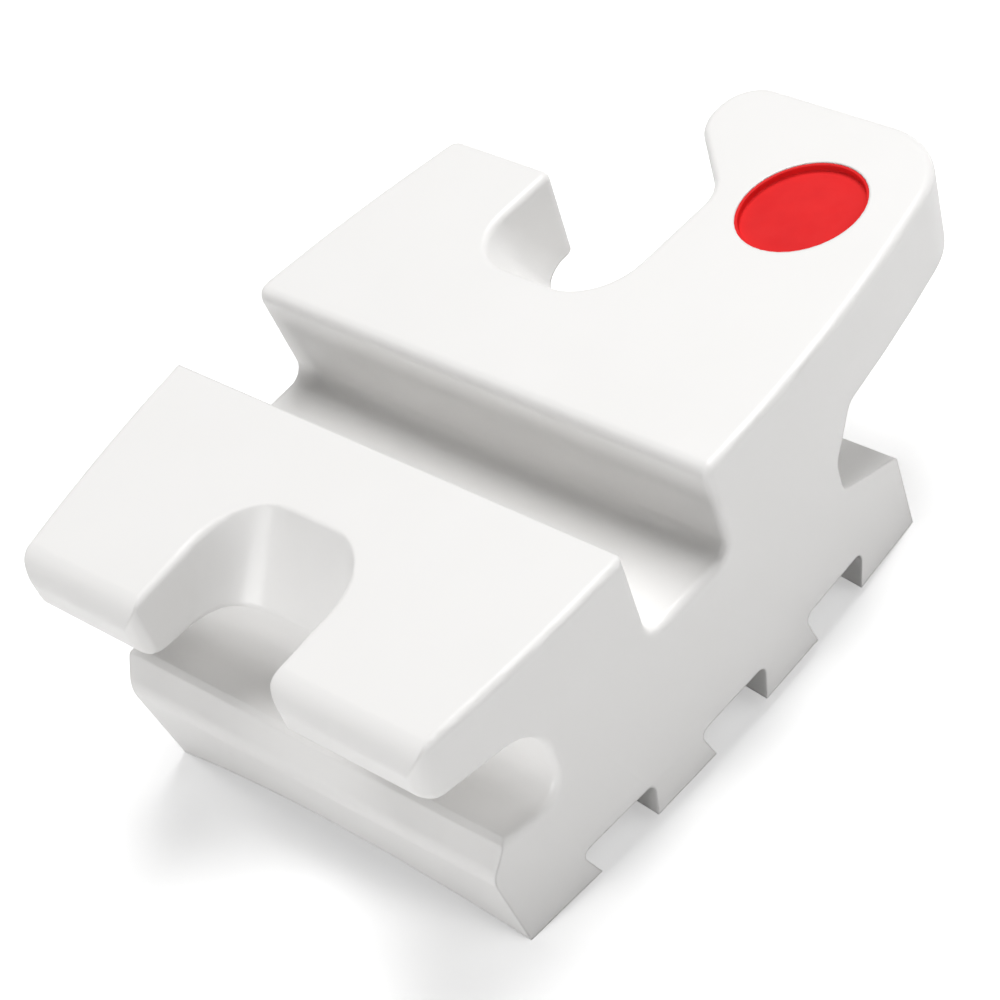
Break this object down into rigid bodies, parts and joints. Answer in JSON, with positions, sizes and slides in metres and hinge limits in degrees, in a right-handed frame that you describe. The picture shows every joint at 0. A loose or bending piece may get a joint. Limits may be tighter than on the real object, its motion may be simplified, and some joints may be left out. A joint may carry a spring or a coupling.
{
  "type": "orthodontic bracket",
  "caption": "Ceramic orthodontic bracket with an archwire slot between tie wings, a long wing carrying a coloured dot, and a hollowed bonding base with dovetail grooves.",
  "frame": {"origin": "middle of the archwire slot's floor", "axes": "+X along the archwire slot, +Y across the slot towards the long wing, +Z out of the slot, away from the tooth"},
  "size_m": [0.003, 0.0042, 0.0016],
  "materials": {
    "ceramic": "fine-ground white polycrystalline ceramic with a satin polish",
    "mark_enamel": "red water-soluble marking paint, smooth and slightly glossy"
  },
  "bodies": {
    "root": {"bracket_body": "ceramic", "identification_mark": "mark_enamel"}
  },
  "joints": []
}
